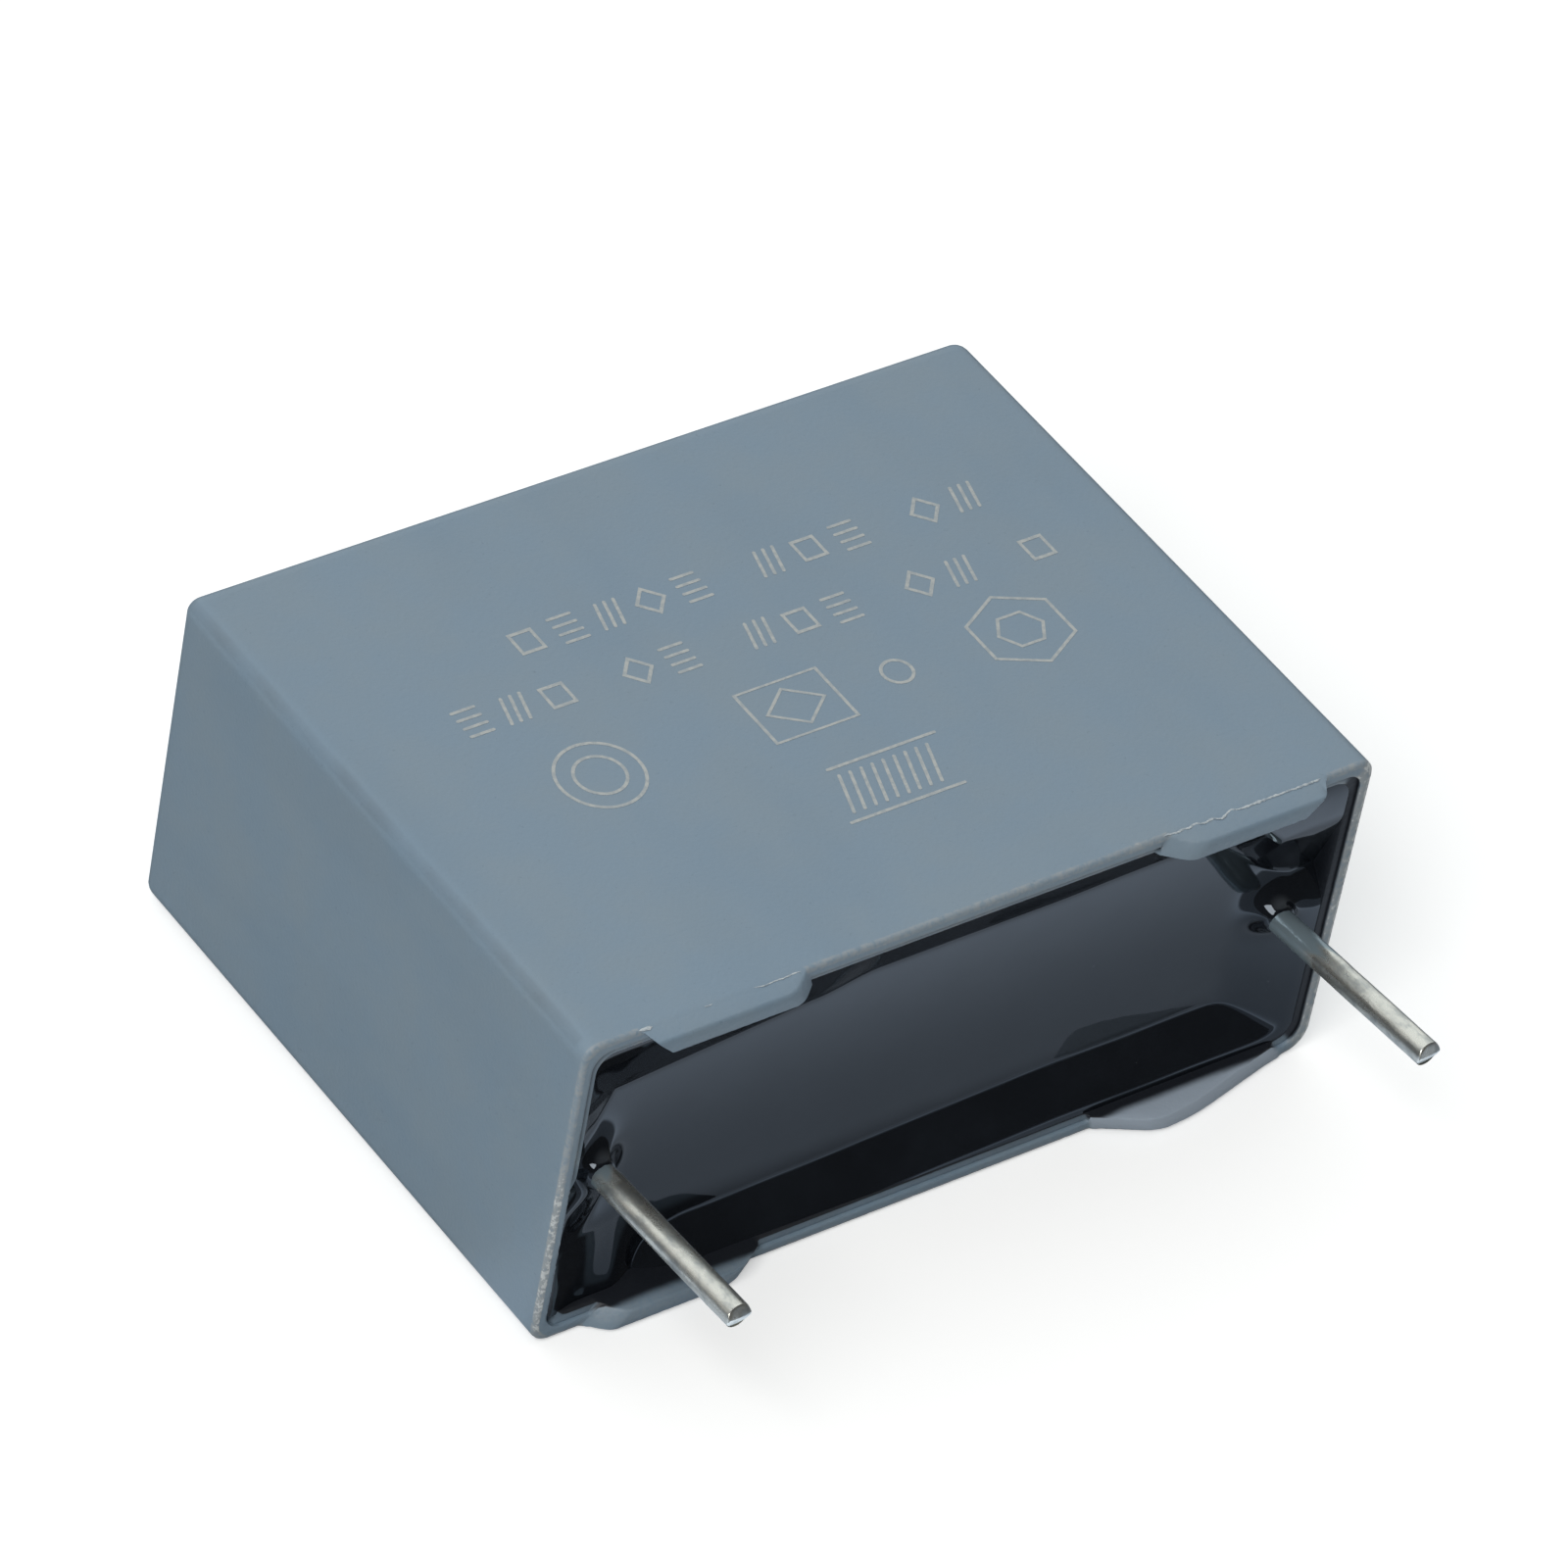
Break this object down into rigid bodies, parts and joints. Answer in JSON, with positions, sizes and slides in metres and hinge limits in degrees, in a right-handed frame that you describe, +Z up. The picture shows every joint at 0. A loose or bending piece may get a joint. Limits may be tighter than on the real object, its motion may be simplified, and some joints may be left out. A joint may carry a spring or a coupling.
{
  "type": "box film capacitor",
  "caption": "Box film capacitor: moulded rectangular case with stand-off feet, potted with dark epoxy, with a wound film element inside and short parallel wire leads.",
  "frame": {"origin": "middle of the whole part's footprint (case and leads), on the large face that it lies on", "axes": "+X along the lead pitch, the leads point towards -Y, +Z up through the printed large face"},
  "size_m": [0.0258, 0.0254, 0.0108],
  "materials": {
    "case_plastic": "fine moulded grain, slightly glossy on the rounded edges",
    "potting_epoxy": "self-levelled, mirror smooth",
    "metallised_film": "wound clear film with a grey metal layer",
    "sprayed_metal": "rough sprayed zinc",
    "tinned_wire": "tinned, drawn, with sheared ends"
  },
  "bodies": {
    "root": {"case": "case_plastic", "potting_resin": "potting_epoxy", "film_winding": "metallised_film", "end_contact_left": "sprayed_metal", "end_contact_right": "sprayed_metal", "lead_left": "tinned_wire", "lead_right": "tinned_wire"}
  },
  "joints": []
}
